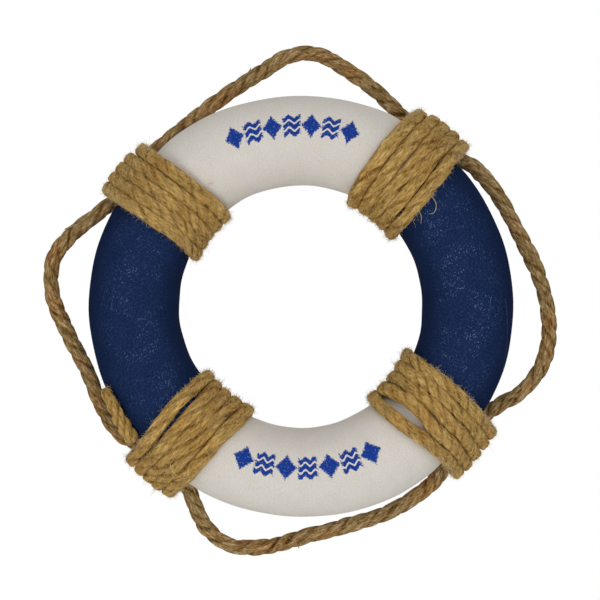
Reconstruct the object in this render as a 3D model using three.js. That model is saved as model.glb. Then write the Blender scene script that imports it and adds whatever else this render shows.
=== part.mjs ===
// Decorative ring lifebuoy, 200 mm across its foam ring, hung on a wall by its grab line.
//
// A foam torus is covered by four cloth panels, white at the top and bottom and navy at the sides.
// Four rope bindings of five turns lie over the joints between the panels, and grip a laid rope, the
// grab line, which bows out in a free bight between each two bindings. The top bight hangs on a hook.
//
// Millimetres and degrees. +Z is up, the front faces -Y and the wall is on the +Y side. Ring angles
// run from +X towards +Z. The origin is the hang point, under the top of the grab line.

import * as THREE from 'three';

// ---- Driving dimensions ----

const RING_OUTER_DIAMETER = 200;
const RING_HOLE_DIAMETER = 114.4;
const COVER_THICKNESS = 0.8;
const BINDING_ROPE_DIAMETER = 5.9;
const GRAB_LINE_DIAMETER = 7.2;

// The clearance between pieces that touch, and round the grab line where a binding grips it.
const TOUCHING_GAP = 0.3;
const LINE_GAP = 0.7;

// The grab line lies this far behind the ring's outer edge, as an angle in the tube's section.
const SEAT_ANGLE = 28.5;

// The hang point, measured from the ring's centre.
const HANG_POINT = new THREE.Vector3(1, 20, 116.7);

// Each binding's place on the ring, and how far each of its turns lies from the binding's middle.
const BINDINGS = {
  upper_right: { angle: 52.5, turns: [-13.6, -7.2, -1, 5.3, 12] },
  upper_left: { angle: 141.1, turns: [-11.4, -5.2, 1, 7.1, 13.2] },
  lower_left: { angle: 229.1, turns: [-13.4, -6.6, -0.5, 5.6, 11.7] },
  lower_right: { angle: 321.1, turns: [-13.3, -4.8, 1.4, 7.5, 13.6] },
};

// The grab line's route: ring angle, distance from the ring's axis, depth behind the ring's middle.
const GRAB_LINE_ROUTE = [
  [228.9, 101.4, 12.4],
  [221, 101.4, 12.3],
  [215.6, 105.3, 12],
  [207, 106.1, 11.4],
  [196.5, 106.4, 10.6],
  [187, 111.4, 9.8],
  [177.5, 118.2, 9.6],
  [169, 119.7, 10],
  [162, 113.3, 10.8],
  [155.4, 106, 12],
  [148.9, 101.3, 12.2],
  [141.1, 101.2, 12.2],
  [133.4, 101.2, 12.4],
  [122, 101.8, 13],
  [110.5, 106.2, 14.8],
  [100, 112.9, 17.6],
  [92.6, 119.6, 19.6],
  [86.6, 120.6, 19.8],
  [78.5, 114.4, 17.4],
  [70, 107.8, 14.4],
  [64.2, 103.5, 12.8],
  [60.3, 101.3, 12.2],
  [52.5, 101.2, 12.2],
  [44.7, 101.3, 12.2],
  [39.2, 105.3, 12.3],
  [30, 107.5, 12.9],
  [18.5, 109.3, 13.5],
  [7.5, 114.1, 13.7],
  [-3.5, 118.3, 13.4],
  [-13, 118.5, 13],
  [-21, 113, 12.6],
  [-27, 105.1, 12.4],
  [-31.2, 101.4, 12.2],
  [-38.9, 101.2, 12.2],
  [-46.5, 101.3, 12.2],
  [-52.5, 104.6, 12],
  [-65, 106.5, 10.6],
  [-78, 106.7, 9.6],
  [-88.5, 109.3, 8.9],
  [-98, 115.4, 8.8],
  [-106.5, 118.7, 9.4],
  [-113.5, 114.3, 10.8],
  [-118.8, 106.3, 12.1],
  [-122.9, 101.3, 12.2],
  [-130.7, 101.4, 12.4],
];

// The tail's route, in the same terms. It lies on the cover in front of the grab line.
const TAIL_ROUTE = [
  [219.1, 101.1, -10.8],
  [215, 100.5, -11.9],
  [210.7, 100, -12.8],
  [206.6, 99.8, -13.1],
  [202.7, 100.3, -12.2],
];

// ---- Worked-out sizes ----

const FULL_TURN = 360;

const TUBE_RADIUS = (RING_OUTER_DIAMETER - RING_HOLE_DIAMETER) / 4;
const RING_RADIUS = (RING_OUTER_DIAMETER + RING_HOLE_DIAMETER) / 4;
const COVER_INNER_RADIUS = TUBE_RADIUS - COVER_THICKNESS;
const CORE_RADIUS = COVER_INNER_RADIUS - TOUCHING_GAP;

const BINDING_RADIUS = BINDING_ROPE_DIAMETER / 2;
const GRAB_LINE_RADIUS = GRAB_LINE_DIAMETER / 2;
const SEAT_DISTANCE = TUBE_RADIUS + LINE_GAP + GRAB_LINE_RADIUS;
const WRAP_RADIUS_ON_TUBE = TUBE_RADIUS + TOUCHING_GAP + BINDING_RADIUS;
const WRAP_RADIUS_ON_LINE = GRAB_LINE_RADIUS + LINE_GAP + BINDING_RADIUS;

// ---- Facets ----

const TUBE_SIDES = 16;
const CORE_STEPS = 48;
const PANEL_STEPS = 12;
const ROPE_SIDES = 6;
const GRAB_LINE_SIDES = 8;
const GRAB_LINE_STEPS = 80;
const TAIL_STEPS = 6;
const ROUND_TUBE_STEPS = 16;
const ROUND_LINE_STEPS = 5;

// ---- Materials ----

const MATERIALS = {
  foam: new THREE.MeshStandardMaterial({ color: 0xf4f3ee, roughness: 0.9, metalness: 0 }),
  whiteCloth: new THREE.MeshStandardMaterial({ color: 0xd2cec3, roughness: 0.85, metalness: 0 }),
  navyCloth: new THREE.MeshStandardMaterial({ color: 0x16233f, roughness: 0.8, metalness: 0 }),
  jute: new THREE.MeshStandardMaterial({ color: 0xa9854a, roughness: 0.95, metalness: 0 }),
  laidRope: new THREE.MeshStandardMaterial({ color: 0x86683f, roughness: 0.95, metalness: 0 }),
};

// ---- Geometry ----

// A point given by ring angle, distance from the ring's axis and depth behind the ring's middle.
function ringPoint(angle, radius, depth) {
  const radians = THREE.MathUtils.degToRad(angle);
  return new THREE.Vector3(radius * Math.cos(radians), depth, radius * Math.sin(radians));
}

// The tube's centre circle between two ring angles.
class RingArc extends THREE.Curve {
  constructor(start, end) {
    super();
    this.start = start;
    this.end = end;
  }

  getPoint(t) {
    return ringPoint(THREE.MathUtils.lerp(this.start, this.end, t), RING_RADIUS, 0);
  }
}

// The outline that a taut turn takes round the tube and the grab line, in the tube's section: an arc
// round the tube, an arc round the grab line and the two straight stretches between them. Angles
// start at the outer edge and run towards the wall.
const TURN = (() => {
  const seat = THREE.MathUtils.degToRad(SEAT_ANGLE);
  const lean = Math.acos((WRAP_RADIUS_ON_TUBE - WRAP_RADIUS_ON_LINE) / SEAT_DISTANCE);
  const straight = SEAT_DISTANCE * Math.sin(lean);
  const back = Math.PI / 2;
  const roundTube = WRAP_RADIUS_ON_TUBE * (2 * Math.PI + seat - lean - back);
  const roundLine = WRAP_RADIUS_ON_LINE * 2 * lean;
  const toBack = WRAP_RADIUS_ON_TUBE * (back - seat - lean);
  const length = roundTube + straight + roundLine + straight + toBack;
  return { seat, lean, straight, back, roundTube, roundLine, length };
})();

function onCircle(angle, radius, centre = new THREE.Vector2()) {
  return new THREE.Vector2(Math.cos(angle), Math.sin(angle)).multiplyScalar(radius).add(centre);
}

// The outline's point at a distance along one turn, which starts and ends at the back of the ring.
function turnPoint(distance) {
  const { seat, lean, straight, back, roundTube, roundLine } = TURN;
  const lineCentre = onCircle(seat, SEAT_DISTANCE);
  const onTube = (angle) => onCircle(angle, WRAP_RADIUS_ON_TUBE);
  const onLine = (angle) => onCircle(angle, WRAP_RADIUS_ON_LINE, lineCentre);

  let rest = distance;
  if (rest <= roundTube) return onTube(back + rest / WRAP_RADIUS_ON_TUBE);
  rest -= roundTube;
  if (rest <= straight) return onTube(seat - lean).lerp(onLine(seat - lean), rest / straight);
  rest -= straight;
  if (rest <= roundLine) return onLine(seat - lean + rest / WRAP_RADIUS_ON_LINE);
  rest -= roundLine;
  if (rest <= straight) return onLine(seat + lean).lerp(onTube(seat + lean), rest / straight);
  return onTube(seat + lean + (rest - straight) / WRAP_RADIUS_ON_TUBE);
}

// Where along one turn the rope's facets start and end, with both ends of each arc among them.
function turnStations() {
  const { straight, roundTube, roundLine, length } = TURN;
  const stations = [];
  for (let step = 0; step <= ROUND_TUBE_STEPS; step += 1) {
    stations.push((roundTube * step) / ROUND_TUBE_STEPS);
  }
  for (let step = 0; step <= ROUND_LINE_STEPS; step += 1) {
    stations.push(roundTube + straight + (roundLine * step) / ROUND_LINE_STEPS);
  }
  stations.push(roundTube + straight + roundLine + straight, length);
  return stations;
}

// The centre line of one binding rope: turn beside turn, all square to the ring at the binding's
// middle, with the rope's two ends at the back.
class BindingPath extends THREE.Curve {
  constructor({ angle, turns }) {
    super();
    this.angle = angle;
    this.turns = turns;
    this.stations = turnStations();
    this.stepsPerTurn = this.stations.length - 1;
    this.steps = this.stepsPerTurn * turns.length;
  }

  // Steps are spread by the stations, not evenly by length.
  getUtoTmapping(u) {
    return u;
  }

  // How far along the binding the rope has come after so many turns.
  offsetAfter(turnsDone) {
    const last = this.turns.length - 1;
    const place = turnsDone - 0.5;
    const from = THREE.MathUtils.clamp(Math.floor(place), 0, last - 1);
    return THREE.MathUtils.lerp(this.turns[from], this.turns[from + 1], place - from);
  }

  getPoint(t) {
    const step = THREE.MathUtils.clamp(t, 0, 1) * this.steps;
    const whole = Math.min(Math.floor(step), this.steps - 1);
    const turn = Math.floor(whole / this.stepsPerTurn);
    const station = whole % this.stepsPerTurn;
    const distance = THREE.MathUtils.lerp(this.stations[station], this.stations[station + 1], step - whole);
    const section = turnPoint(distance);
    const radius = RING_RADIUS + section.x;
    const offset = this.offsetAfter(turn + distance / TURN.length);
    const turned = THREE.MathUtils.radToDeg(Math.asin(offset / radius));
    return ringPoint(this.angle + turned, radius, section.y);
  }
}

function roundSection(radius) {
  return new THREE.Shape().absarc(0, 0, radius, 0, Math.PI * 2);
}

// A full circle gets two sides for each of its curve segments.
function sweep(section, path, steps, sides) {
  return new THREE.ExtrudeGeometry(section, { extrudePath: path, steps, curveSegments: sides / 2 });
}

function routeCurve(route) {
  return new THREE.CatmullRomCurve3(route.map((point) => ringPoint(...point)), false, 'centripetal');
}

function foamCore() {
  const ring = new THREE.TorusGeometry(RING_RADIUS, CORE_RADIUS, TUBE_SIDES, CORE_STEPS);
  return ring.rotateX(Math.PI / 2);
}

// One cloth panel, wrapped right round the tube from one binding's middle to the next one's.
function coverPanel(from, to) {
  const wall = roundSection(TUBE_RADIUS);
  const inside = new THREE.Path().absarc(0, 0, COVER_INNER_RADIUS, 0, Math.PI * 2, true);
  wall.holes.push(inside);
  const halfGap = THREE.MathUtils.radToDeg(TOUCHING_GAP / RING_HOLE_DIAMETER);
  const start = from.angle + halfGap;
  const end = (to.angle > from.angle ? to.angle : to.angle + FULL_TURN) - halfGap;
  return sweep(wall, new RingArc(start, end), PANEL_STEPS, TUBE_SIDES);
}

function bindingRope(binding) {
  const path = new BindingPath(binding);
  return sweep(roundSection(BINDING_RADIUS), path, path.steps, ROPE_SIDES);
}

// ---- Assembly ----

const lifebuoy = new THREE.Group();
lifebuoy.name = 'ring_lifebuoy';
lifebuoy.position.copy(HANG_POINT).negate();

function addPiece(name, geometry, material) {
  const piece = new THREE.Mesh(geometry, material);
  piece.name = name;
  lifebuoy.add(piece);
}

const { upper_right, upper_left, lower_left, lower_right } = BINDINGS;

addPiece('foam_core', foamCore(), MATERIALS.foam);
addPiece('cover_white_top', coverPanel(upper_right, upper_left), MATERIALS.whiteCloth);
addPiece('cover_blue_left', coverPanel(upper_left, lower_left), MATERIALS.navyCloth);
addPiece('cover_white_bottom', coverPanel(lower_left, lower_right), MATERIALS.whiteCloth);
addPiece('cover_blue_right', coverPanel(lower_right, upper_right), MATERIALS.navyCloth);

for (const [place, binding] of Object.entries(BINDINGS)) {
  addPiece(`binding_${place}`, bindingRope(binding), MATERIALS.jute);
}

const tail = sweep(roundSection(BINDING_RADIUS), routeCurve(TAIL_ROUTE), TAIL_STEPS, GRAB_LINE_SIDES);
addPiece('binding_lower_left_tail', tail, MATERIALS.jute);

const grabLine = sweep(
  roundSection(GRAB_LINE_RADIUS),
  routeCurve(GRAB_LINE_ROUTE),
  GRAB_LINE_STEPS,
  GRAB_LINE_SIDES,
);
addPiece('grab_line', grabLine, MATERIALS.laidRope);

export default lifebuoy;
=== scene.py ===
"""Looks of a small ring lifebuoy: a cloth-covered foam ring, four jute lashings and a grab line.

Lengths are in millimetres until mesh_piece() turns them into metres. The ring's own axes are angle
(degrees from +X towards +Z), radius from the ring's axis, and depth behind the ring's mid-plane.
"""

import math

import bpy
import numpy as np
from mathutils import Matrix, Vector


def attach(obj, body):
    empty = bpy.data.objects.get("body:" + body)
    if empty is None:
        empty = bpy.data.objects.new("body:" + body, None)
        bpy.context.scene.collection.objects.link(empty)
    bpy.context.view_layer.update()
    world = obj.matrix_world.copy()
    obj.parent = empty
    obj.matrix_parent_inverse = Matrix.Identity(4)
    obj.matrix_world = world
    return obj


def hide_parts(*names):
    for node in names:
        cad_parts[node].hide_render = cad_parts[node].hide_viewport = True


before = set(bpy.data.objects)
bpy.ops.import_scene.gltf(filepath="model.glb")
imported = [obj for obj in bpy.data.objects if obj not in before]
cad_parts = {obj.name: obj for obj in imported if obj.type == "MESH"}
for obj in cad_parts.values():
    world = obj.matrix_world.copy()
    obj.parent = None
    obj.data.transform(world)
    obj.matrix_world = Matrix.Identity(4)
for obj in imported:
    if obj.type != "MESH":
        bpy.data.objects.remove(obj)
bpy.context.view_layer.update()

MM = 0.001
BODY = "root"

# ---------------------------------------------------------------- sizes shared with the CAD, in mm
RING_CENTRE = np.array([-1.0, -20.0, -116.7])
RING_RADIUS = 78.6
TUBE_RADIUS = 21.4
COVER_THICKNESS = 0.8
SEAT_DISTANCE = 25.7
SEAT_ANGLE = math.radians(28.5)

# Angle, radius and depth of the grab line's middle, once round the ring.
GRAB_LINE_ROUTE = [
    (228.9, 101.4, 12.4), (221, 101.4, 12.3), (215.6, 105.3, 12), (207, 106.1, 11.4),
    (196.5, 106.4, 10.6), (187, 111.4, 9.8), (177.5, 118.2, 9.6), (169, 119.7, 10),
    (162, 113.3, 10.8), (155.4, 106, 12), (148.9, 101.3, 12.2), (141.1, 101.2, 12.2),
    (133.4, 101.2, 12.4), (122, 101.8, 13), (110.5, 106.2, 14.8), (100, 112.9, 17.6),
    (92.6, 119.6, 19.6), (86.6, 120.6, 19.8), (78.5, 114.4, 17.4), (70, 107.8, 14.4),
    (64.2, 103.5, 12.8), (60.3, 101.3, 12.2), (52.5, 101.2, 12.2), (44.7, 101.3, 12.2),
    (39.2, 105.3, 12.3), (30, 107.5, 12.9), (18.5, 109.3, 13.5), (7.5, 114.1, 13.7),
    (-3.5, 118.3, 13.4), (-13, 118.5, 13), (-21, 113, 12.6), (-27, 105.1, 12.4),
    (-31.2, 101.4, 12.2), (-38.9, 101.2, 12.2), (-46.5, 101.3, 12.2), (-52.5, 104.6, 12),
    (-65, 106.5, 10.6), (-78, 106.7, 9.6), (-88.5, 109.3, 8.9), (-98, 115.4, 8.8),
    (-106.5, 118.7, 9.4), (-113.5, 114.3, 10.8), (-118.8, 106.3, 12.1), (-122.9, 101.3, 12.2),
    (-130.7, 101.4, 12.4),
]

# The free end of the lower left lashing's rope.
TAIL_ROUTE = [
    (219.1, 101.1, -10.8), (215, 100.5, -11.9), (210.7, 100, -12.8), (206.6, 99.8, -13.1),
    (202.7, 100.3, -12.2),
]

# Each lashing's middle angle, the radii that its rope's middle keeps round the tube and round the
# grab line, its lay (how long the strands take to go once round, and how deep their valleys are), how
# far each of its five turns sinks into the grab line, and the turns' places along the ring from the
# lashing's middle, in a row for each of LASHING_RADII, from the inner rim across the front to the outer.
LASHING_RADII = (54.5, 58, 66, 75, 85, 94.5, 104, 108)
LASHINGS = {
    "upper_right": (52.5, (23.9, 7.1), (46, 0.08), (0.3, 0, 0.1, 0.4, 1.7), (
        (-12.9, -7.0, -1.8, 3.9, 9.8), (-13.1, -6.9, -1.4, 4.6, 11.3), (-13.8, -6.8, -0.4, 5.7, 12.4),
        (-13.9, -7.0, -0.9, 5.9, 12.8), (-13.9, -7.1, -1.1, 5.8, 13.0), (-13.7, -7.0, -1.2, 5.4, 12.5),
        (-14.4, -7.9, -1.7, 4.5, 10.9), (-14.6, -8.4, -2.4, 3.6, 9.6),
    )),
    "upper_left": (141.1, (23.25, 6.2), (22, 0.11), (1.7, 0.4, 0, 0, 0.2), (
        (-9.5, -4.2, 1.2, 6.5, 12.2), (-10.7, -4.7, 0.9, 6.1, 11.6), (-11.5, -5.4, 0.2, 5.4, 10.8),
        (-11.6, -5.3, 0.5, 6.0, 11.5), (-11.1, -4.9, 0.9, 6.6, 12.2), (-10.5, -4.0, 1.7, 7.6, 13.4),
        (-10.0, -3.4, 2.4, 8.0, 14.0), (-9.8, -3.2, 2.8, 8.4, 14.2),
    )),
    "lower_left": (229.1, (23.35, 7.5), (52, 0.08), (0, 0, 0, 0, 0.7), (
        (-10.8, -5.5, 0.1, 6.2, 12.9), (-12.3, -5.9, -0.2, 6.0, 12.8), (-13.6, -5.8, -0.3, 5.4, 12.2),
        (-13.9, -6.0, -0.4, 5.4, 11.7), (-13.6, -5.9, -0.2, 5.4, 11.6), (-12.9, -6.0, -0.1, 5.3, 11.7),
        (-12.8, -6.4, -0.8, 4.6, 10.6), (-12.8, -6.7, -1.2, 4.2, 10.2),
    )),
    "lower_right": (321.1, (23.45, 7.3), (22, 0.11), (0, 0, 0, 0, 0.2), (
        (-11.5, -6.2, 0.7, 7.0, 13.0), (-13.0, -4.4, 2.2, 7.8, 13.3), (-13.2, -2.8, 3.3, 8.8, 13.9),
        (-13.1, -3.3, 3.0, 8.8, 14.0), (-12.4, -5.5, 1.6, 8.0, 13.6), (-12.2, -6.0, 0.9, 7.1, 12.5),
        (-13.9, -8.0, -1.6, 4.6, 10.7), (-15.0, -9.2, -3.0, 3.4, 9.4),
    )),
}
LASHING_DIAMETER = 6.3
SQUASH_ON_TUBE = 0.82  # how much of its height a turn keeps where it presses on the tube
SQUASH_ON_LINE = 0.95  # and where it bridges the grab line
NARROWEST_TURN = 6.0
WIDEST_TURNS = (6.3, 6.6, 6.8, 6.9, 7.0)  # the most that each of the five turns may spread
TURN_OVERLAP = 0.35  # how far two turns that touch press into each other

# Loose yarns over the turns or just beside them: the lashing, then points as mm along the ring from the
# lashing's middle and mm from the ring's axis.
STRAY_YARNS = [
    ("lower_left", [(12.8, 96.8), (8.5, 98.2), (4.3, 97.6), (2.2, 95.6), (1.9, 92.2)]),
    ("lower_right", [(-4.6, 90.2), (-7.0, 91.2), (-10.4, 90.4)]),
    ("lower_right", [(-0.9, 87.0), (-3.5, 89.2), (-6.8, 87.0), (-10.6, 86.6)]),
    ("upper_right", [(-14.0, 76.6), (-18.0, 79.4), (-21.4, 78.6), (-22.6, 75.6), (-20.8, 73.0)]),
    ("upper_right", [(-14.2, 70.8), (-18.6, 70.2), (-21.2, 67.8)]),
    ("upper_left", [(-11.4, 69.4), (-16.0, 71.4), (-19.6, 70.4)]),
]
STRAY_DIAMETER = 0.27
STRAYS_DROP_FROM = 12.0  # mm from a lashing's middle, where a yarn starts to drop to the cloth
STRAYS_DROP_OVER = 8.0

# Yarn ends that have come loose from the grab line, in the ring's coordinates.
LOOSE_ENDS = [
    [(104.4, 112.0, 14.6), (103.3, 113.4, 14.0), (102.4, 114.6, 13.6), (101.8, 116.1, 13.4)],
    [(266.9, 109.8, 6.6), (268.1, 112.1, 6.2), (269.1, 113.6, 6.0), (269.6, 115.4, 6.6)],
    [(158.4, 108.6, 8.6), (160.0, 113.0, 8.0), (161.3, 116.4, 7.6), (162.2, 118.4, 8.2)],
]
LOOSE_END_DIAMETER = 0.75

# Each cover's first and last angle and its cloth.
COVERS = {
    "cover_white_top": (52.5, 141.1, "white_cloth"),
    "cover_blue_left": (141.1, 229.1, "navy_cloth"),
    "cover_white_bottom": (229.1, 321.1, "white_cloth"),
    "cover_blue_right": (321.1, 412.5, "navy_cloth"),
}

# ---------------------------------------------------------------- geometry of laid rope
STRANDS = 3
ROPE_SIDES = 80
ROPE_STEP = 0.8
VALLEY_SHARPNESS = 2.2  # 1 for a rounded valley between strands, more for a narrower one
SQUARENESS = 3.2  # 2 leaves a pressed turn's section oval, more squares it
YARN_LEAN = 0.8  # 0 where the yarns run along their strand, 1 where they run along the rope
RIGHT_LAID = 1
LEFT_LAID = -1

# How uneven a rope is: its twist and its valleys' course in radians, the rest over its radius.
TWIST_WANDER = 0.35
VALLEY_WANDER = 0.16
THICKNESS_WANDER = 0.03
STRAND_WANDER = 0.02

# The share by which a rope's end narrows, and over about how many mm.
HIDDEN_END = (0.3, 0.7)
BARE_END = (0.45, 1.4)

# Yarn ridges on a rope: their share of the relief, how many to a mm of radius, and their length in mm.
RIDGE_LAYERS = ((0.55, 5, 6.0), (0.45, 9, 2.8))

YARN_SIDES = 6
YARN_STEP = 0.5

HAIR_SIDES = 3
HAIR_STATIONS = 4
HAIR_ROOTS = (0.82, 0.96)  # how far out of the rope's middle a hair starts, over the radius given
HAIR_THICKNESS = (0.045, 0.10)  # radius of a hair at its root
SHORTEST_HAIR = 0.7


def smooth_line(points, per=24):
    """A centripetal Catmull-Rom curve through the points, as the CAD makes its cords."""
    points = np.asarray(points, float)
    ends = 2 * points[0] - points[1], 2 * points[-1] - points[-2]
    p = np.vstack([ends[0], points, ends[1]])
    share = np.arange(per)[:, None] / per
    out = []
    for a, b, c, d in zip(p, p[1:], p[2:], p[3:]):
        ab, bc, cd = (math.sqrt(np.linalg.norm(y - x)) for x, y in ((a, b), (b, c), (c, d)))
        leave = bc * ((b - a) / ab - (c - a) / (ab + bc) + (c - b) / bc)
        arrive = bc * ((c - b) / bc - (d - b) / (bc + cd) + (d - c) / cd)
        square = -3 * b + 3 * c - 2 * leave - arrive
        cube = 2 * b - 2 * c + leave + arrive
        out.append(b + leave * share + square * share**2 + cube * share**3)
    return np.vstack([*out, points[-1:]])


def length_along(line):
    """The length from the line's start to each of its points."""
    return np.concatenate([[0], np.cumsum(np.linalg.norm(np.diff(line, axis=0), axis=1))])


def spaced(line, step):
    """The line cut into even steps of about that length."""
    along = length_along(line)
    places = np.linspace(0, along[-1], int(round(along[-1] / step)) + 1)
    return np.stack([np.interp(places, along, line[:, i]) for i in range(3)], 1)


def unit(v):
    return v / np.linalg.norm(v, axis=-1, keepdims=True)


def frames(line):
    """Tangent and two side directions at each point, carried along without twisting."""
    tangent = unit(np.gradient(line, axis=0))
    side = np.zeros_like(line)
    side[0] = unit(np.cross(tangent[0], [0.3, 1.0, 0.2]))
    for i in range(1, len(line)):
        side[i] = unit(side[i - 1] - tangent[i] * (side[i - 1] @ tangent[i]))
    return tangent, side, np.cross(tangent, side)


def ring_points(angle, radius, depth):
    """Points in the row frame, in mm, from the ring's own coordinates."""
    angle = np.radians(angle)
    place = np.stack([radius * np.cos(angle), depth + 0 * angle, radius * np.sin(angle)], -1)
    return place + RING_CENTRE


def tube_middle(points):
    """The nearest point of the circle at the middle of the ring's tube."""
    flat = (points - RING_CENTRE) * [1, 0, 1]
    return RING_CENTRE + unit(flat) * RING_RADIUS


def wander(places, wavelength, rng, waves=5):
    """A slow smooth random wave along the places, about -1 to 1."""
    total = np.zeros_like(places, dtype=float)
    for _ in range(waves):
        stretch = rng.uniform(0.6, 1.7)
        total += np.sin(2 * np.pi * places / (wavelength * stretch) + rng.uniform(0, 2 * np.pi))
    return total / math.sqrt(waves)


# ---------------------------------------------------------------- meshes
def mesh_piece(name, points, faces, material, vectors=None):
    """A mesh object from points in mm, with vector attributes for its material."""
    mesh = bpy.data.meshes.new(name)
    mesh.from_pydata((np.asarray(points) * MM).tolist(), [], [list(f) for f in faces])
    for key, values in (vectors or {}).items():
        attribute = mesh.attributes.new(key, "FLOAT_VECTOR", "POINT")
        attribute.data.foreach_set("vector", np.asarray(values, np.float32).ravel())
    mesh.polygons.foreach_set("use_smooth", [True] * len(mesh.polygons))
    mesh.update()
    piece = bpy.data.objects.new(name, mesh)
    bpy.context.scene.collection.objects.link(piece)
    piece.data.materials.append(material)
    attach(piece, BODY)
    return piece


def tube_faces(rings, sides):
    """Quads between rings of points, each ring closed on itself."""
    ring, side = np.meshgrid(np.arange(rings - 1), np.arange(sides), indexing="ij")
    after = (side + 1) % sides
    corners = [ring * sides + side, ring * sides + after]
    corners += [(ring + 1) * sides + after, (ring + 1) * sides + side]
    return np.stack(corners, -1).reshape(-1, 4)


def streaks(around, along, cells, stretch, rng):
    """Smooth random ridges, -1 to 1: so many round the rope, each about stretch mm long."""
    table = rng.uniform(-1, 1, (int(along.max() / stretch) + 3, cells))
    row = along / stretch + 0 * around
    column = (around / (2 * np.pi) * cells) % cells
    r, c = np.floor(row).astype(int), np.floor(column).astype(int) % cells
    x, y = row - np.floor(row), column - np.floor(column)
    x, y = x * x * (3 - 2 * x), y * y * (3 - 2 * y)
    d = (c + 1) % cells
    low = table[r, c] * (1 - y) + table[r, d] * y
    high = table[r + 1, c] * (1 - y) + table[r + 1, d] * y
    return low * (1 - x) + high * x


def rope_surface(along, look, rng):
    """Angle and reach of a rope's surface over its radius, its yarns' angle, its valleys and ridges."""
    diameter, pitch, hand, groove, ridges = look
    radius = diameter / 2
    own = (np.arange(ROPE_SIDES) / ROPE_SIDES * 2 * np.pi)[None, :]
    turned = hand * 2 * np.pi * along / pitch + TWIST_WANDER * wander(along, 2.3 * pitch, rng)
    plump = 1 + THICKNESS_WANDER * wander(along, 1.3 * pitch, rng)
    wiggle = VALLEY_WANDER * streaks(own, along, 5, 7.0, rng)
    valley = (0.5 - 0.5 * np.cos(STRANDS * (own + wiggle))) ** VALLEY_SHARPNESS
    strand_of = np.round(own[0] / (2 * np.pi / STRANDS)).astype(int) % STRANDS
    swell = np.stack([wander(along[:, 0], 1.4 * pitch, rng) for _ in range(STRANDS)], 1)[:, strand_of]
    yarn_angle = own + YARN_LEAN * turned
    ridge = 0
    for share, crowding, length in RIDGE_LAYERS:
        ridge = ridge + share * streaks(yarn_angle, along, int(crowding * radius), length, rng)
    deep = valley * (0.75 + 0.5 * streaks(own, along, STRANDS, 5.0, rng))
    reach = (1 - groove * deep + ridges * ridge + STRAND_WANDER * swell) * plump
    return own + turned, reach, yarn_angle, deep, ridge


def pressed_flat(offset, before, flatten):
    """The surface's offsets from the rope's middle, squashed and widened as flatten says."""
    out, tall, wide = flatten
    places = np.linspace(0, before[-1], len(offset))
    out = unit(np.stack([np.interp(places, before, out[:, i]) for i in range(3)], 1))[:, None]
    tall = np.interp(places, before, tall)[:, None, None]
    wide = np.interp(places, before, wide)[:, None, None]
    height = np.sum(offset * out, -1, keepdims=True)
    lift = height * out
    level = np.abs(height) / np.linalg.norm(offset, axis=-1, keepdims=True)
    other = np.sqrt(np.maximum(1 - level**2, 0))
    square = (level**SQUARENESS + other**SQUARENESS) ** (-1 / SQUARENESS)
    return (lift * tall + (offset - lift) * wide) * square


def laid_rope(name, line, look, material, seed, step=ROPE_STEP, flatten=None, bare_end=False):
    """Three twisted strands swept along the line, ridged by their yarns.

    look is (diameter, pitch, hand, groove, ridges): groove is how deep the strands' valleys are, and
    ridges how high the yarns stand, both over the rope's radius. flatten gives the line's outward
    directions with the height and width there over the diameter. A bare end is narrower than a hidden
    one. For the material, fibre is a point's place in the rope's own run, and relief its valley and ridge.
    """
    rng = np.random.default_rng(seed)
    radius = look[0] / 2
    before = length_along(line)
    line = spaced(line, step)
    along = length_along(line)[:, None]
    _, side, across = frames(line)
    polar, reach, yarn_angle, deep, ridge = rope_surface(along, look, rng)
    narrowing, over = BARE_END if bare_end else HIDDEN_END
    taper = 1 - narrowing * np.exp(-np.minimum(along, along[-1] - along) / over)
    x, y = radius * reach * taper * np.cos(polar), radius * reach * taper * np.sin(polar)
    offset = side[:, None] * x[..., None] + across[:, None] * y[..., None]
    if flatten is not None:
        offset = pressed_flat(offset, before, flatten)
    points = (line[:, None] + offset).reshape(-1, 3)
    run = along + 0 * yarn_angle
    fibre = np.stack([radius * np.cos(yarn_angle), radius * np.sin(yarn_angle), run], -1).reshape(-1, 3)
    relief = np.stack([np.clip(deep, 0, 1.3), ridge, 0 * run], -1).reshape(-1, 3)
    faces = tube_faces(len(line), ROPE_SIDES).tolist()
    first, last = len(points), len(points) + 1
    end = first - ROPE_SIDES
    for i in range(ROPE_SIDES):
        j = (i + 1) % ROPE_SIDES
        faces += [(first, j, i), (last, end + i, end + j)]
    points = np.vstack([points, line[0], line[-1]])
    fibre, relief = (np.vstack([values, values[0], values[-1]]) for values in (fibre, relief))
    return mesh_piece(name, points, faces, material, {"fibre": fibre, "relief": relief})


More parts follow.
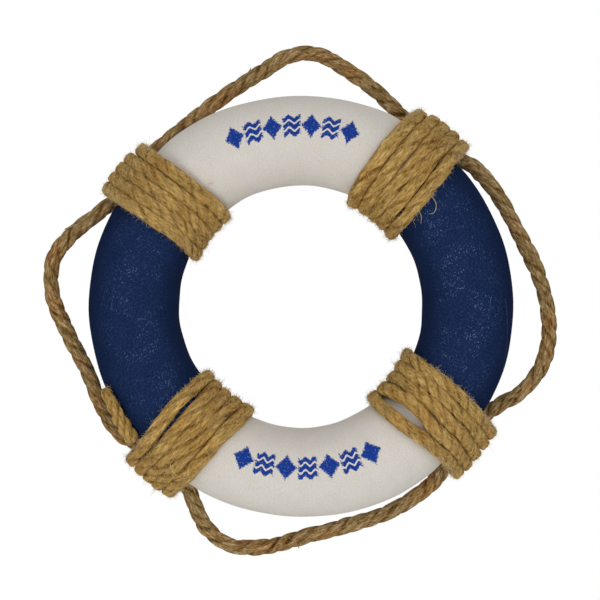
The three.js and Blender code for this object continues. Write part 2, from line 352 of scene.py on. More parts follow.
def fuzz(name, line, radius, count, longest, material, seed, keep=None, stand=(0.1, 0.75)):
    """Loose hairs that stand off a rope: thin closed tubes, each on its own curve.

    There are at most that many, where keep allows, and stand is the range of their outward lean.
    """
    rng = np.random.default_rng(seed)
    line = spaced(line, YARN_STEP)
    tangent, side, across = frames(line)
    at = rng.integers(0, len(line), count * 3)
    round_it = rng.uniform(0, 2 * np.pi, len(at))[:, None]
    out = side[at] * np.cos(round_it) + across[at] * np.sin(round_it)
    root = line[at] + out * radius * rng.uniform(*HAIR_ROOTS, (len(at), 1))
    if keep is not None:
        good = keep(root, out)
        at, out, root = at[good], out[good], root[good]
    at, out, root = at[:count], out[:count], root[:count]
    n = len(at)
    sideways = np.cross(tangent[at], out)
    heading = tangent[at] * rng.choice([-1, 1], (n, 1)) * rng.uniform(0.4, 1, (n, 1))
    heading = heading + out * rng.uniform(*stand, (n, 1)) + sideways * rng.normal(0, 0.45, (n, 1))
    heading = unit(heading)
    bend = unit(rng.normal(0, 1, (n, 3)) - out * 0.6) * rng.uniform(0.1, 0.6, (n, 1))
    length = longest * rng.beta(1.2, 3.4, (n, 1)) + SHORTEST_HAIR
    share = np.linspace(0, 1, HAIR_STATIONS)
    path = root[:, None] + (heading * length)[:, None] * share[:, None]
    path = path + (bend * length)[:, None] * share[:, None] ** 2
    one = unit(np.cross(heading, [0.31, 0.52, 0.8]))
    other = np.cross(heading, one)
    thick = rng.uniform(*HAIR_THICKNESS, (n, 1)) * (1 - 0.7 * share[None, :])
    turn = 2 * np.pi * np.arange(HAIR_SIDES) / HAIR_SIDES
    ring = one[:, None, None] * np.cos(turn)[:, None] + other[:, None, None] * np.sin(turn)[:, None]
    points = path[:, :, None] + ring * thick[:, :, None, None]
    per = HAIR_STATIONS * HAIR_SIDES
    starts = per * np.arange(n)[:, None, None]
    quads = (tube_faces(HAIR_STATIONS, HAIR_SIDES) + starts).reshape(-1, 4)
    caps = (np.array([[2, 1, 0], [per - 3, per - 2, per - 1]]) + starts).reshape(-1, 3)
    faces = quads.tolist() + caps.tolist()
    return mesh_piece(name, points.reshape(-1, 3), faces, material)


def yarns(name, lines, diameter, material):
    """Loose yarns: round closed tubes that thin towards both ends."""
    points, faces = [], []
    around = np.arange(YARN_SIDES) / YARN_SIDES * 2 * np.pi
    for line in lines:
        line = spaced(line, YARN_STEP)
        _, side, across = frames(line)
        share = np.linspace(-1, 1, len(line))[:, None, None]
        reach = diameter / 2 * np.sqrt(1.02 - share**2)
        ring = side[:, None] * np.cos(around)[:, None] + across[:, None] * np.sin(around)[:, None]
        start = sum(len(p) for p in points)
        points.append((line[:, None] + ring * reach).reshape(-1, 3))
        end = start + (len(line) - 1) * YARN_SIDES
        faces += (tube_faces(len(line), YARN_SIDES) + start).tolist()
        faces += [list(range(start, start + YARN_SIDES))[::-1], list(range(end, end + YARN_SIDES))]
    return mesh_piece(name, np.vstack(points), faces, material)


# ---------------------------------------------------------------- lashing paths
SEAT_SPREAD = 0.45  # radians round the tube either side of the seat that the grab line lifts a turn
CROSSING_PAST_SEAT = 2.0  # mm of rope from the seat to where a turn starts to cross to the next
CROSSED_BEFORE_RIM = 4.0  # mm of rope from there to the inner rim where it has crossed
TURN_WANDER = 0.16
TURN_WANDER_LENGTH = 20.0


def turn_marks(wraps):
    """How far along one turn each of its arcs and straight stretches ends, and the arcs' half angle."""
    on_tube, on_line = wraps
    lean = math.acos((on_tube - on_line) / SEAT_DISTANCE)
    straight = SEAT_DISTANCE * math.sin(lean)
    round_tube = on_tube * (1.5 * math.pi + SEAT_ANGLE - lean)
    to_back = on_tube * (math.pi / 2 - SEAT_ANGLE - lean)
    return np.cumsum([round_tube, straight, on_line * 2 * lean, straight, to_back]), lean


def turn_section(distance, wraps):
    """Radial and depth place on one turn's outline: round the tube from the back, then the line."""
    on_tube, on_line = wraps
    marks, lean = turn_marks(wraps)

    def circle(angle, radius, centre=(0, 0)):
        return np.array([centre[0] + radius * math.cos(angle), centre[1] + radius * math.sin(angle)])

    seat = circle(SEAT_ANGLE, SEAT_DISTANCE)
    low, high = SEAT_ANGLE - lean, SEAT_ANGLE + lean
    if distance <= marks[0]:
        return circle(math.pi / 2 + distance / on_tube, on_tube)
    if distance <= marks[1]:
        share = (distance - marks[0]) / (marks[1] - marks[0])
        return circle(low, on_tube) * (1 - share) + circle(low, on_line, seat) * share
    if distance <= marks[2]:
        return circle(low + (distance - marks[1]) / on_line, on_line, seat)
    if distance <= marks[3]:
        share = (distance - marks[2]) / (marks[3] - marks[2])
        return circle(high, on_line, seat) * (1 - share) + circle(high, on_tube) * share
    return circle(high + (distance - marks[3]) / on_tube, on_tube)


def eased(share):
    """A smooth step from 0 to 1."""
    share = np.clip(share, 0, 1)
    return share * share * (3 - 2 * share)


def crossed_at_back(place, within, turn, table, wraps):
    """The turns' places along the ring, with each turn's crossing to the next at the ring's back."""
    once = turn_marks(wraps)[0][-1]
    last = table.shape[1] - 1
    enter = wraps[0] * math.pi / 2 - CROSSED_BEFORE_RIM
    leave = once - wraps[0] * (math.pi / 2 - SEAT_ANGLE) + CROSSING_PAST_SEAT
    back = enter + once - leave
    before, after = table[-1, np.maximum(turn - 1, 0)], table[0, np.minimum(turn + 1, last)]
    share = eased((within + once - leave) / back)
    coming = before * (1 - share) + table[0, turn] * share
    share = eased((within - leave) / back)
    going = table[-1, turn] * (1 - share) + after * share
    place = np.where((within < enter) & (turn > 0), coming, place)
    return np.where((within > leave) & (turn < last), going, place)


def lashing_line(angle, wraps, sinks, rows, seed):
    """The middle of a lashing's rope, its outward directions, its widths in mm and its squash.

    Each turn runs straight over the front and crosses to the next one at the ring's back.
    """
    rng = np.random.default_rng(seed)
    once = turn_marks(wraps)[0][-1]
    table = np.array(rows)
    turns = table.shape[1]
    distance = np.arange(0, once * turns, ROPE_STEP)
    turn = np.minimum((distance / once).astype(int), turns - 1)
    section = np.array([turn_section(d % once, wraps) for d in distance])
    round_tube = np.arctan2(section[:, 1], section[:, 0])
    on_line = np.exp(-(((round_tube - SEAT_ANGLE) / SEAT_SPREAD) ** 2))
    radius = RING_RADIUS + section[:, 0] - np.array(sinks)[turn] * on_line
    gaps = np.diff(table, axis=1)
    beside = np.minimum(np.hstack([gaps[:, :1], gaps]), np.hstack([gaps, gaps[:, -1:]]))
    widths = np.clip(beside + TURN_OVERLAP, NARROWEST_TURN, WIDEST_TURNS)
    place = np.array([np.interp(r, LASHING_RADII, table[:, t]) for r, t in zip(radius, turn)])
    wide = np.array([np.interp(r, LASHING_RADII, widths[:, t]) for r, t in zip(radius, turn)])
    place = crossed_at_back(place, distance - turn * once, turn, table, wraps)
    place = place + TURN_WANDER * wander(distance, TURN_WANDER_LENGTH, rng)
    points = ring_points(angle + np.degrees(np.arcsin(place / radius)), radius, section[:, 1])
    ahead = unit(np.gradient(points, axis=0))
    along_ring = unit(np.cross(points - tube_middle(points), ahead))
    tall = SQUASH_ON_TUBE + (SQUASH_ON_LINE - SQUASH_ON_TUBE) * on_line
    return points, unit(np.cross(ahead, along_ring)), wide, tall


# ---------------------------------------------------------------- material nodes
class Paint:
    """A node material, with short calls for its sums and textures."""

    def __init__(self, name, roughness, specular):
        self.material = bpy.data.materials.new(name)
        self.material.use_nodes = True
        self.nodes = self.material.node_tree.nodes
        self.links = self.material.node_tree.links
        self.shader = self.nodes["Principled BSDF"]
        self.shader.inputs["Specular IOR Level"].default_value = specular
        self.shader.inputs["Roughness"].default_value = roughness

    def put(self, socket, value):
        """Feed the socket from another one, or set it to a plain value."""
        if isinstance(value, bpy.types.NodeSocket):
            self.links.new(value, socket)
        elif value is not None:
            socket.default_value = value

    def sum(self, operation, *values):
        node = self.nodes.new("ShaderNodeMath")
        node.operation = operation
        for socket, value in zip(node.inputs, values):
            self.put(socket, value)
        return node.outputs[0]

    def times(self, product, *others):
        for other in others:
            product = self.sum("MULTIPLY", product, other)
        return product

    def total(self, *terms):
        """The sum of some values, each times its weight."""
        total = 0.0
        for value, weight in terms:
            total = self.sum("MULTIPLY_ADD", value, weight, total)
        return total

    def vector(self, operation, *values):
        node = self.nodes.new("ShaderNodeVectorMath")
        node.operation = operation
        for socket, value in zip(node.inputs, values):
            self.put(socket, value)
        return node.outputs[0]

    def attribute(self, name):
        node = self.nodes.new("ShaderNodeAttribute")
        node.attribute_name = name
        return node.outputs["Vector"]

    def parts(self, vector):
        """The three numbers of a vector."""
        node = self.nodes.new("ShaderNodeSeparateXYZ")
        self.put(node.inputs[0], vector)
        return node.outputs

    def place(self):
        return self.nodes.new("ShaderNodeTexCoord").outputs["Object"]

    def noise(self, vector, scale, detail=3.0, rough=0.55):
        node = self.nodes.new("ShaderNodeTexNoise")
        self.put(node.inputs["Vector"], self.vector("MULTIPLY", vector, scale))
        node.inputs["Scale"].default_value = 1.0
        node.inputs["Detail"].default_value = detail
        node.inputs["Roughness"].default_value = rough
        return node.outputs["Fac"]

    def span(self, value, low, high, to_low=0.0, to_high=1.0):
        """A smooth step from to_low, where the value is low, to to_high."""
        node = self.nodes.new("ShaderNodeMapRange")
        node.interpolation_type = "SMOOTHSTEP"
        for socket, number in zip(node.inputs, (value, low, high, to_low, to_high)):
            self.put(socket, number)
        return node.outputs[0]

    def ramp(self, value, stops):
        """The colour that the stops, each a place and a colour, give for the value."""
        node = self.nodes.new("ShaderNodeValToRGB")
        self.put(node.inputs[0], value)
        elements = node.color_ramp.elements
        while len(elements) < len(stops):
            elements.new(0.5)
        for element, (place, colour) in zip(elements, stops):
            element.position = place
            element.color = (*colour, 1)
        return node.outputs[0]

    def mix(self, share, one, other, blend="MIX"):
        node = self.nodes.new("ShaderNodeMix")
        node.data_type = "RGBA"
        node.blend_type = blend
        self.put(node.inputs["Factor"], share)
        self.put(node.inputs["A"], (*one, 1) if isinstance(one, tuple) else one)
        self.put(node.inputs["B"], (*other, 1) if isinstance(other, tuple) else other)
        return node.outputs["Result"]

    def shade(self, colour, height=None, distance=0.1, strength=0.5):
        """The shader's colour and its bump, whose distance is in mm."""
        self.put(self.shader.inputs["Base Color"], colour)
        if height is not None:
            bump = self.nodes.new("ShaderNodeBump")
            bump.inputs["Strength"].default_value = strength
            bump.inputs["Distance"].default_value = distance * MM
            self.put(bump.inputs["Height"], height)
            self.put(self.shader.inputs["Normal"], bump.outputs[0])
        return self.material


PATCHES_PER_METRE = 55.0


def rope_material(name, stops, hollow, tint):
    """Twisted fibre: clumps and streaks along the yarns, patches of other shades, and painted shade that
    darkens the hollows between strands.
    """
    paint = Paint(name, roughness=0.95, specular=0.08)
    fibre, relief = paint.attribute("fibre"), paint.attribute("relief")
    deep, ridge, _ = paint.parts(relief)
    clump = paint.noise(fibre, (1.25, 1.25, 0.42), 3.0, 0.6)
    streak = paint.noise(fibre, (2.4, 2.4, 0.5), 3.0, 0.6)
    fine = paint.noise(fibre, (4.2, 4.2, 0.4), 2.0)
    patch = paint.noise(paint.place(), (PATCHES_PER_METRE,) * 3, 2.0)
    colour = paint.ramp(paint.total((clump, 0.40), (streak, 0.35), (fine, 0.25), (ridge, 0.08)), stops)
    colour = paint.mix(paint.span(patch, 0.40, 0.66), colour, tint, "MULTIPLY")
    # Painted shade: the valleys between strands are multiplied by the hollow colour, more in some patches
    # than in others.
    hollow_shade_patches = paint.noise(fibre, (0.5, 0.5, 0.22), 2.0)
    depth = paint.times(paint.span(deep, 0.2, 1.0), paint.span(hollow_shade_patches, 0.35, 0.6, 0.35, 1.0))
    colour = paint.mix(depth, colour, hollow, "MULTIPLY")
    paint.put(paint.shader.inputs["Roughness"], paint.span(streak, 0.3, 0.7, 0.85, 1.0))
    height = paint.total((clump, 1.4), (streak, 1.0), (fine, 1.0))
    return paint.shade(colour, height, distance=0.6, strength=0.8)


HAIR_TONES_PER_METRE = 420.0


def hair_material(name, dark, light):
    """Single fibres, some dark and some light."""
    paint = Paint(name, roughness=0.75, specular=0.3)
    tone = paint.noise(paint.place(), (HAIR_TONES_PER_METRE,) * 3, 2.0)
    colour = paint.ramp(tone, [(0.3, dark), (0.7, light)])
    return paint.shade(colour, tone, distance=0.02, strength=0.3)


THREAD = 0.62  # mm from one thread of the weave to the next but one
NAP_RELIEF = 2.2  # how much higher the brushed nap stands than the threads


def weave(paint, cloth):
    """Height of a fine plain weave, rounded threads passing over and under."""
    u, v, _ = paint.parts(cloth)
    per_mm = 2 * math.pi / THREAD
    over = paint.sum("SINE", paint.times(u, per_mm))
    under = paint.sum("SINE", paint.times(v, per_mm))
    return paint.times(over, under)


SEAM_AT = math.pi * TUBE_RADIUS  # mm round the tube from the front: the middle of the back
STITCH_PITCH = 3.6
STITCH_REACH = 2.2
STITCH_SLANT = 0.35


def stitched(paint, cloth, colour, thread):
    """The colour with the slanting stitches that close the cloth along the ring's back."""
    u, v, _ = paint.parts(cloth)
    from_seam = paint.sum("SUBTRACT", SEAM_AT, paint.sum("ABSOLUTE", v))
    slanted = paint.sum("MULTIPLY_ADD", v, STITCH_SLANT, u)
    run = paint.sum("FRACT", paint.sum("DIVIDE", slanted, STITCH_PITCH))
    on_stitch = paint.span(paint.sum("ABSOLUTE", paint.sum("SUBTRACT", run, 0.5)), 0.09, 0.14, 1.0, 0.0)
    near = paint.times(on_stitch, paint.sum("LESS_THAN", from_seam, STITCH_REACH))
    return paint.mix(paint.times(near, 0.8), colour, thread)


INK = (0.008, 0.043, 0.285)
INK_CELLS_HALF = 3.5  # cells of the band either side of its middle
STAR_WIDTH = 0.55  # half a star's width over the cell's size
STAR_HEIGHT = 6.3  # half a star's height
STAR_CURVE = 0.86  # 1 for a star with straight sides, less for hollow ones
WAVES_WIDTH = 0.45  # half the width of a stack of waves over the cell's size
WAVES_HEIGHT = 4.9  # half its height
WAVE_GAP = 3.6  # mm from the middle of one wavy line to the next
WAVE_HALF = 1.32  # half a wavy line's thickness
WAVE_BENDS = 1.35  # radians of wave to a mm
WAVE_RISE = 0.85


def star(paint, x, y, wide):
    """Less than 1 inside a four-pointed star."""
    terms = [
        paint.sum("POWER", paint.sum("ABSOLUTE", paint.sum("DIVIDE", value, size)), STAR_CURVE)
        for value, size in ((x, wide), (y, STAR_HEIGHT))
    ]
    return paint.sum("ADD", *terms)


def waves(paint, x, y, wide):
    """Less than 1 inside a stack of three wavy lines."""
    rise = paint.times(paint.sum("SINE", paint.times(x, WAVE_BENDS)), WAVE_RISE)
    level = paint.sum("SUBTRACT", y, rise)
    line = paint.sum("PINGPONG", paint.sum("ADD", level, 1.5 * WAVE_GAP), WAVE_GAP / 2)
    near = paint.sum("DIVIDE", paint.sum("SUBTRACT", WAVE_GAP / 2, line), WAVE_HALF)
    far = paint.sum("DIVIDE", paint.sum("ABSOLUTE", x), wide)
    tall = paint.sum("DIVIDE", paint.sum("ABSOLUTE", level), WAVES_HEIGHT)
    return paint.sum("MAXIMUM", near, paint.sum("MAXIMUM", far, tall))


def printed_band(paint, cloth, band, cell_size, nap):
    """How much ink there is in a band of stars and waves, whose edges the nap roughens."""
    u, v, _ = paint.parts(cloth)
    cell = paint.sum("ADD", paint.sum("DIVIDE", u, cell_size), INK_CELLS_HALF)
    x = paint.times(paint.sum("SUBTRACT", paint.sum("FRACT", cell), 0.5), cell_size)
    y = paint.sum("SUBTRACT", v, band)
    odd = paint.sum("PINGPONG", paint.sum("FLOOR", cell), 1.0)
    stars = star(paint, x, y, STAR_WIDTH * cell_size)
    shape = paint.mix(odd, stars, waves(paint, x, y, WAVES_WIDTH * cell_size))
    shape = paint.sum("ADD", shape, paint.span(nap, 0.25, 0.75, -0.16, 0.16))
    inside = paint.sum("LESS_THAN", paint.sum("ABSOLUTE", u), cell_size * INK_CELLS_HALF)
    return paint.times(paint.span(shape, 0.9, 1.06, 1.0, 0.0), inside)


def white_cloth(name, band, cell_size):
    """Brushed off-white cotton, printed with a band of stars and waves at that place round the tube."""
    paint = Paint(name, roughness=0.95, specular=0.12)
    cloth = paint.attribute("cloth")
    nap = paint.noise(cloth, (1.25, 1.25, 1.0), 4.0, 0.65)
    cloud = paint.noise(cloth, (0.11, 0.11, 1.0), 3.0)
    speck = paint.noise(cloth, (1.1, 1.1, 1.0), 2.0)
    colour = paint.ramp(cloud, [(0.3, (0.735, 0.69, 0.625)), (0.7, (0.775, 0.735, 0.68))])
    colour = paint.mix(paint.span(speck, 0.35, 0.6, 0.10, 0.0), colour, (0.42, 0.39, 0.34))
    colour = paint.mix(paint.span(nap, 0.3, 0.7, 0.36, 0.0), colour, (0.5, 0.47, 0.42))
    ink = printed_band(paint, cloth, band, cell_size, nap)
    ink = paint.times(ink, paint.span(speck, 0.28, 0.42, 0.72, 1.0))
    colour = paint.mix(ink, colour, INK)
    colour = stitched(paint, cloth, colour, (0.42, 0.40, 0.36))
    height = paint.total((weave(paint, cloth), 1.0), (nap, NAP_RELIEF))
    return paint.shade(colour, height, distance=0.05, strength=0.6)


LINT_ANGLES = (-0.1, 1.7)  # the way most of the lint was brushed, in radians from the ring's run
LINT = (0.17, 0.245, 0.42)
# Layers of lint: where each starts, the size of its cells, its fibres' half length and half width, all in
# mm, and the share of its cells that have a fibre.
LINT_LAYERS = (
    ((0.0, 0.0), 1.3, 0.50, 0.16, 0.45),
    ((31.7, 12.3), 0.85, 0.34, 0.15, 0.5),
    ((71.9, 52.1), 3.4, 0.9, 0.15, 0.4),
)


def lint(paint, cloth, cell, long, wide, share):
    """Short pale fibres at random angles, at most one in each cell of that size in mm."""
    node = paint.nodes.new("ShaderNodeTexVoronoi")
    node.voronoi_dimensions = "2D"
    node.inputs["Scale"].default_value = 1.0
    scaled = paint.vector("MULTIPLY", cloth, (1 / cell, 1 / cell, 0.0))
    paint.put(node.inputs["Vector"], scaled)
    away = paint.vector("SUBTRACT", scaled, node.outputs["Position"])
    x, y, _ = paint.parts(away)
    first, second, third = paint.parts(node.outputs["Color"])
    angle = paint.span(first, 0.0, 1.0, *LINT_ANGLES)
    cos, sin = paint.sum("COSINE", angle), paint.sum("SINE", angle)
    ahead = paint.sum("ADD", paint.times(x, cos), paint.times(y, sin))
    beside = paint.sum("SUBTRACT", paint.times(y, cos), paint.times(x, sin))
    bow = paint.times(paint.times(ahead, ahead), 0.5)
    far = paint.sum("DIVIDE", ahead, long / cell)
    near = paint.sum("DIVIDE", paint.sum("SUBTRACT", beside, bow), wide / cell)
    size = paint.sum("ADD", paint.times(far, far), paint.times(near, near))
    shown = paint.sum("LESS_THAN", second, share)
    bright = paint.sum("POWER", third, 2.2)
    return paint.times(paint.span(size, 0.5, 1.0, 1.0, 0.0), shown, bright)


def crease_mark(paint, cloth, nap, ends):
    """1 on a thin rubbed line between two ends, less where the nap hides it and 0 elsewhere."""
    u, v, _ = paint.parts(cloth)
    (u0, v0), (u1, v1) = ends
    slope = (v1 - v0) / (u1 - u0)
    on_crease = paint.sum("MULTIPLY_ADD", u, slope, v0 - slope * u0)
    away = paint.sum("ABSOLUTE", paint.sum("SUBTRACT", v, on_crease))
    near = paint.span(away, 0.15, 0.45, 1.0, 0.0)
    from_middle = paint.sum("ABSOLUTE", paint.sum("SUBTRACT", u, (u0 + u1) / 2))
    near = paint.times(near, paint.sum("LESS_THAN", from_middle, abs(u1 - u0) / 2))
    return paint.times(near, paint.span(nap, 0.35, 0.6, 0.25, 1.0))


def navy_cloth(name, linty, crease=None):
    """Brushed navy cotton that has caught that much pale lint, most of it on the ring's front, with
    painted shade that darkens it towards the inner and outer rims.

    A crease is the ends of a thin rubbed line, each as mm along the ring and round the tube.
    """
    paint = Paint(name, roughness=1.0, specular=0.02)
    cloth = paint.attribute("cloth")
    round_it = paint.sum("ABSOLUTE", paint.parts(cloth)[1])
    nap = paint.noise(cloth, (1.1, 1.1, 1.0), 3.0, 0.6)
    cloud = paint.noise(cloth, (0.09, 0.09, 1.0), 3.0)
    colour = paint.ramp(cloud, [(0.3, (0.0075, 0.0176, 0.058)), (0.7, (0.0104, 0.0240, 0.080))])
    colour = paint.mix(paint.span(nap, 0.42, 0.68, 0.0, 0.7), colour, (0.018, 0.039, 0.125))
    crowd = paint.noise(cloth, (0.10, 0.055, 1.0), 3.0)
    faces_front = paint.span(round_it, 7.0, 23.0, 1.0, 0.2)
    where = paint.times(paint.span(crowd, 0.42, 0.62, 0.14, 1.0), faces_front)
    pale = 0.0
    for start, cell, long, wide, share in LINT_LAYERS:
        moved = paint.vector("ADD", cloth, (*start, 0.0))
        pale = paint.sum("MAXIMUM", pale, lint(paint, moved, cell, long, wide, share))
    colour = paint.mix(paint.times(pale, where, linty), colour, LINT)
    # Painted shade: the navy is mixed darker towards the inner and outer rims, away from the ring's front,
    # where the light falls off.
    colour = paint.mix(paint.span(round_it, 6.0, 25.0, 0.0, 0.50), colour, (0.004, 0.008, 0.026))
    height = paint.total((weave(paint, cloth), 1.0), (nap, NAP_RELIEF))
    if crease:
        mark = crease_mark(paint, cloth, nap, crease)
        colour = paint.mix(paint.times(mark, 0.27), colour, (0.16, 0.20, 0.33))
        height = paint.total((height, 1.0), (mark, 6.0))
    colour = stitched(paint, cloth, colour, (0.010, 0.020, 0.06))
    return paint.shade(colour, height, distance=0.05, strength=0.5)


BEADS_PER_METRE = 330.0


def foam_material():
    """Expanded polystyrene: packed beads a few millimetres across."""
    paint = Paint("foam_beads", roughness=0.7, specular=0.3)
    node = paint.nodes.new("ShaderNodeTexVoronoi")
    node.feature = "DISTANCE_TO_EDGE"
    paint.put(node.inputs["Vector"], paint.place())
    node.inputs["Scale"].default_value = BEADS_PER_METRE
    edge = paint.span(node.outputs["Distance"], 0.0, 0.12)
    colour = paint.mix(edge, (0.78, 0.77, 0.74), (0.93, 0.92, 0.89))
    return paint.shade(colour, edge, distance=0.25, strength=0.6)


JUTE = rope_material(
    "jute_twist",
    [
        (0.37, (0.17, 0.092, 0.022)), (0.46, (0.42, 0.255, 0.068)), (0.54, (0.585, 0.375, 0.122)),
        (0.64, (0.84, 0.60, 0.235)),
    ],
    # colour of the painted shade in the strands' valleys
    (0.45, 0.35, 0.24),
    (0.92, 0.84, 0.72),
)
LINE = rope_material(
    "laid_rope_twist",
    [
        (0.37, (0.095, 0.052, 0.016)), (0.46, (0.26, 0.165, 0.060)), (0.54, (0.42, 0.285, 0.125)),
        (0.64, (0.68, 0.51, 0.29)),
    ],
    # colour of the painted shade in the strands' valleys
    (0.36, 0.25, 0.14),
    (1.0, 0.84, 0.72),
)
JUTE_HAIR = hair_material("jute_hair", (0.51, 0.345, 0.12), (0.79, 0.60, 0.29))
JUTE_WISP = hair_material("jute_wisp", (0.52, 0.41, 0.24), (0.80, 0.70, 0.50))
LINE_HAIR = hair_material("laid_rope_hair", (0.24, 0.155, 0.07), (0.45, 0.33, 0.18))


# ---------------------------------------------------------------- camera, before anything else
CAMERA_DISTANCE = 1.6
VIEW_WIDTH = 0.2836
VIEW_CENTRE = (-0.0015, -0.020, -0.1139)
SENSOR = 36.0

camera = bpy.data.objects.new("camera", bpy.data.cameras.new("camera"))
camera.data.sensor_width = SENSOR
camera.data.lens = SENSOR * CAMERA_DISTANCE / VIEW_WIDTH
camera.location = Vector(VIEW_CENTRE) - Vector((0, CAMERA_DISTANCE, 0))
camera.rotation_euler = (math.pi / 2, 0, 0)
bpy.context.scene.collection.objects.link(camera)
bpy.context.scene.camera = camera


def route_line(route):
    """The smooth line through a route given in the ring's own coordinates."""
    angle, radius, depth = np.array(route, float).T
    return smooth_line(ring_points(angle, radius, depth))


# Each rope's look, as laid_rope() takes it.
GRAB_LINE_LOOK = (7.5, 25.0, LEFT_LAID, 0.19, 0.08)
TAIL_LOOK = (6.6, 19.0, RIGHT_LAID, 0.42, 0.10)
LASHING_RIDGES = 0.11
TAIL_SWELLING = (1.22, 0.80)  # its size at the foot and at the end, over its look's diameter
TAIL_FLATNESS = 0.85

line = route_line(GRAB_LINE_ROUTE)
grab_line = laid_rope("grab_line_rope", line, GRAB_LINE_LOOK, LINE, seed=11)
grab_fuzz = fuzz(
    "grab_line_hairs", line, radius=3.5, count=2600, longest=2.6,
    material=LINE_HAIR, seed=12,
)
ends = [route_line(route) for route in LOOSE_ENDS]
loose_ends = yarns("grab_line_loose_ends", ends, LOOSE_END_DIAMETER, LINE_HAIR)
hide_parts("grab_line")

line = route_line(TAIL_ROUTE)
out = unit(line - tube_middle(line))
swelling = np.interp(length_along(line) / length_along(line)[-1], (0, 1), TAIL_SWELLING)
tail = laid_rope(
    "lashing_tail_rope", line, TAIL_LOOK, JUTE, seed=21, step=ROPE_STEP / 2,
    flatten=(out, TAIL_FLATNESS * swelling, swelling), bare_end=True,
)
tail_fuzz = fuzz(
    "lashing_tail_hairs", line, radius=2.9, count=420, longest=3.4,
    material=JUTE_HAIR, seed=22,
)
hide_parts("binding_lower_left_tail")


# ---------------------------------------------------------------- lashings
HAIR_REACH = 0.45 * LASHING_DIAMETER  # the radius that hairs start from
EDGE_TURNS_FROM = 10.5  # mm from a lashing's middle


def faces_out(root, out):
    """Whether each hair's root is on its turn's side away from the tube."""
    return np.sum(out * unit(root - tube_middle(root)), -1) > 0.05


def at_edges(angle):
    """A test for the outward sides of a lashing's first and last turns."""
    run = np.array([-math.sin(math.radians(angle)), 0, math.cos(math.radians(angle))])

    def keep(root, out):
        place = (root - RING_CENTRE) @ run
        outwards = (out @ run) * np.sign(place) > 0.3
        return (np.abs(place) > EDGE_TURNS_FROM) & outwards & faces_out(root, out)

    return keep


for number, (place, (angle, wraps, (pitch, groove), sinks, rows)) in enumerate(LASHINGS.items()):
    line, out, wide, tall = lashing_line(angle, wraps, sinks, rows, seed=30 + number)
    look = (LASHING_DIAMETER, pitch, RIGHT_LAID, groove, LASHING_RIDGES)
    rope = laid_rope(
        f"lashing_{place}", line, look, JUTE,
        seed=40 + number, flatten=(out, tall, wide / LASHING_DIAMETER),
    )
    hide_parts(f"binding_{place}")
    fuzz(
        f"lashing_{place}_hairs", line, HAIR_REACH, count=9500, longest=5.0,
        material=JUTE_HAIR, seed=50 + number, keep=faces_out,
    )
    fuzz(
        f"lashing_{place}_wisps", line, HAIR_REACH, count=6500, longest=4.5,
        material=JUTE_WISP, seed=60 + number, keep=at_edges(angle), stand=(0.4, 1.3),
    )

strays = []
for place, route in STRAY_YARNS:
    angle, (on_tube, _), *_ = LASHINGS[place]
    along, radius = np.array(route).T
    on_turns = on_tube + SQUASH_ON_TUBE * LASHING_DIAMETER / 2 + STRAY_DIAMETER / 4
    drop = on_turns - TUBE_RADIUS - STRAY_DIAMETER
    height = on_turns - drop * eased((np.abs(along) - STRAYS_DROP_FROM) / STRAYS_DROP_OVER)
    depth = -np.sqrt(height**2 - (radius - RING_RADIUS) ** 2)
    strays.append(smooth_line(ring_points(angle + np.degrees(np.arcsin(along / radius)), radius, depth)))
yarns("stray_yarns", strays, STRAY_DIAMETER, JUTE_HAIR)


# ---------------------------------------------------------------- cloth covers
CLOTH_STEP = 0.9
SEAM_GAP = 0.002  # radians from the middle of the back to each edge of the cloth
SEAM_DEPTH = 0.35
SEAM_SPREAD = 0.7
HEM_HEIGHT = 0.30
HEM_FROM_SEAM = 1.7
HEM_SPREAD = 1.1
PRESSED_IN = 0.7  # mm that the lashings press the cloth in
PRESSED_EDGE = 1.3  # mm over which it rises again beside them
LASHING_HALF_WIDTH = 15.0
COVER_INNER_LEAST = 20.35

# Middle angle of each printed band, its mm round the tube from the front, and its cells' size in mm.
PRINTS = {"cover_white_top": (92.95, 5.9, 8.52), "cover_white_bottom": (272.4, -3.0, 10.56)}

# Where the ring isn't quite round: middle angle, spread in degrees, and how many mm the cloth lies
# lower there at the ring's outer and inner rim, or less than 0 where it lies higher.
UNEVEN = {
    "cover_white_top": ((90, 20, 0.8, -0.35),),
    "cover_blue_left": ((166, 24, 0.0, 0.5), (196, 14, 0.0, 0.3), (180, 10, -0.4, 0.0)),
    "cover_white_bottom": ((256, 14, 0.55, 0.0), (271, 14, 0.1, 0.55), (298, 10, -0.45, 0.0)),
    "cover_blue_right": ((342, 10, 0.0, 0.5), (390, 12, 0.0, 0.45), (353, 16, -0.45, 0.0)),
}


def cloth_relief(node, angle, section, first, last):
    """How many mm higher than a plain tube the cloth lies, and how much its outer face adds at its hem."""
    rng = np.random.default_rng(len(node) + int(first))
    arc = np.radians(angle - (first + last) / 2) * RING_RADIUS + 0 * section
    soft = 0.10 * wander(arc + 9 * np.cos(section), 34, rng)
    soft = soft + 0.07 * wander(20 * np.sin(section) + 0.4 * arc, 21, rng)
    from_end = np.radians(np.minimum(angle - first, last - angle)) * RING_RADIUS
    lower = PRESSED_IN / (1 + np.exp((from_end - LASHING_HALF_WIDTH) / PRESSED_EDGE))
    to_outer, to_inner = np.maximum(np.cos(section), 0) ** 2, np.maximum(-np.cos(section), 0) ** 2
    for middle, spread, at_outer, at_inner in UNEVEN[node]:
        near = np.exp(-(((angle - middle) / spread) ** 2))
        lower = lower + near * (at_outer * to_outer + at_inner * to_inner)
    from_seam = TUBE_RADIUS * np.minimum(section - np.pi / 2, 2.5 * np.pi - section)
    hem = HEM_HEIGHT * np.exp(-(((from_seam - HEM_FROM_SEAM) / HEM_SPREAD) ** 2))
    return soft - lower, hem - SEAM_DEPTH * np.exp(-((from_seam / SEAM_SPREAD) ** 2))


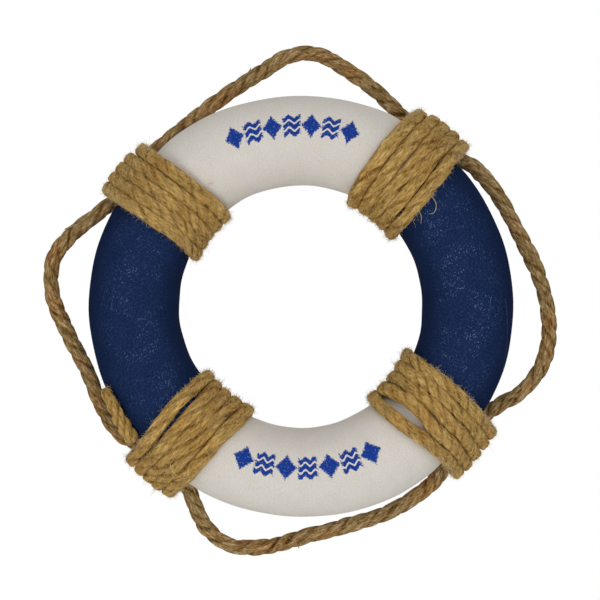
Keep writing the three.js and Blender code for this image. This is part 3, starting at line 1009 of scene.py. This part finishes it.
def cover(node, first, last):
    """A quarter of the cloth skin: a closed thin shell round the tube."""
    mean_arc = math.radians(last - first) * RING_RADIUS
    steps = int(mean_arc / CLOTH_STEP)
    sides = int(2 * math.pi * TUBE_RADIUS / CLOTH_STEP)
    angle = np.linspace(first, last, steps + 1)[:, None]
    section = (np.linspace(SEAM_GAP, 2 * np.pi - SEAM_GAP, sides) + np.pi / 2)[None, :]
    higher, hem = cloth_relief(node, angle, section, first, last)
    inside = np.maximum(TUBE_RADIUS - COVER_THICKNESS + higher, COVER_INNER_LEAST)
    skins = []
    for skin in (TUBE_RADIUS + higher + hem, inside):
        radius = RING_RADIUS + skin * np.cos(section)
        skins.append(ring_points(angle + 0 * section, radius, skin * np.sin(section)).reshape(-1, 3))
    outer = tube_faces(steps + 1, sides)
    inner = outer[:, ::-1] + len(skins[0])
    faces = outer.tolist() + inner.tolist()
    for row, turn in ((0, 1), (steps, -1)):
        ring = row * sides + np.arange(sides)
        after = np.roll(ring, -1)
        rim = np.stack([ring, ring + len(skins[0]), after + len(skins[0]), after], 1)
        faces += rim[:, ::turn].tolist()
    # Cloth coordinates in mm: along the ring, then round the tube from its front, outwards first.
    middle, band, cell_size = PRINTS.get(node, ((first + last) / 2, 0, 0))
    from_middle = np.radians(angle - middle) * RING_RADIUS + 0 * section
    round_it = (section - 1.5 * np.pi) * TUBE_RADIUS + 0 * angle
    cloth = np.stack([from_middle, round_it, 0 * round_it], -1).reshape(-1, 3)
    material = NAVY.get(node) or white_cloth(node + "_print", band, cell_size)
    piece = mesh_piece(
        node.replace("cover", "cloth"), np.vstack(skins), faces, material,
        {"cloth": np.vstack([cloth, cloth])},
    )
    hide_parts(node)


NAVY = {
    "cover_blue_left": navy_cloth("navy_cloth_left", 0.70),
    "cover_blue_right": navy_cloth("navy_cloth_right", 0.95, crease=((-42.3, 30.0), (-6.6, 19.5))),
}
for node, (first, last, slot) in COVERS.items():
    cover(node, first, last)

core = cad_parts["foam_core"]
core.data.materials.clear()
core.data.materials.append(foam_material())


# ---------------------------------------------------------------- floor, world and lights
FLOOR_DEPTH = 1.2
FLOOR_RADIUS = 10.0
AMBIENT = 0.585

corners = np.radians(np.arange(0, 360, 7.5))
rim = np.stack([np.cos(corners), np.sin(corners), 0 * corners], 1) * FLOOR_RADIUS
floor_mesh = bpy.data.meshes.new("floor")
floor_mesh.from_pydata((rim - [0, 0, FLOOR_DEPTH]).tolist(), [], [list(range(len(rim)))])
floor = bpy.data.objects.new("floor", floor_mesh)
bpy.context.scene.collection.objects.link(floor)
floor_paint = Paint("floor_paint", roughness=0.9, specular=0.1)
floor_tone = floor_paint.noise(floor_paint.place(), (3.0, 3.0, 3.0), 2.0)
floor.data.materials.append(
    floor_paint.shade(floor_paint.ramp(floor_tone, [(0.3, (0.86, 0.86, 0.85)), (0.7, (0.9, 0.9, 0.89))]))
)

world = bpy.data.worlds.new("studio")
world.use_nodes = True
bpy.context.scene.world = world
sky = world.node_tree.nodes["Background"]
path = world.node_tree.nodes.new("ShaderNodeLightPath")
level = world.node_tree.nodes.new("ShaderNodeMapRange")
level.inputs["To Min"].default_value = AMBIENT
level.inputs["To Max"].default_value = 1.0
world.node_tree.links.new(path.outputs["Is Camera Ray"], level.inputs["Value"])
world.node_tree.links.new(level.outputs[0], sky.inputs["Strength"])
sky.inputs["Color"].default_value = (1, 1, 1, 1)


def softbox(name, place, size, share):
    """A square light aimed at the ring that alone would light a white face by that share."""
    data = bpy.data.lights.new(name, "AREA")
    data.size = size
    away = Vector(place) - Vector(VIEW_CENTRE)
    data.energy = share * math.pi**2 * away.length**2
    light = bpy.data.objects.new(name, data)
    light.location = place
    light.rotation_euler = away.to_track_quat("Z", "Y").to_euler()
    light.visible_camera = False
    bpy.context.scene.collection.objects.link(light)


softbox("key", (-0.5, -1.6, -0.9), size=0.9, share=0.27)
softbox("fill", (0.5, -1.8, 0.4), size=1.1, share=0.17)
softbox("back", (0.5, 1.6, 0.9), size=1.0, share=0.14)

bpy.context.scene.view_settings.view_transform = "Standard"
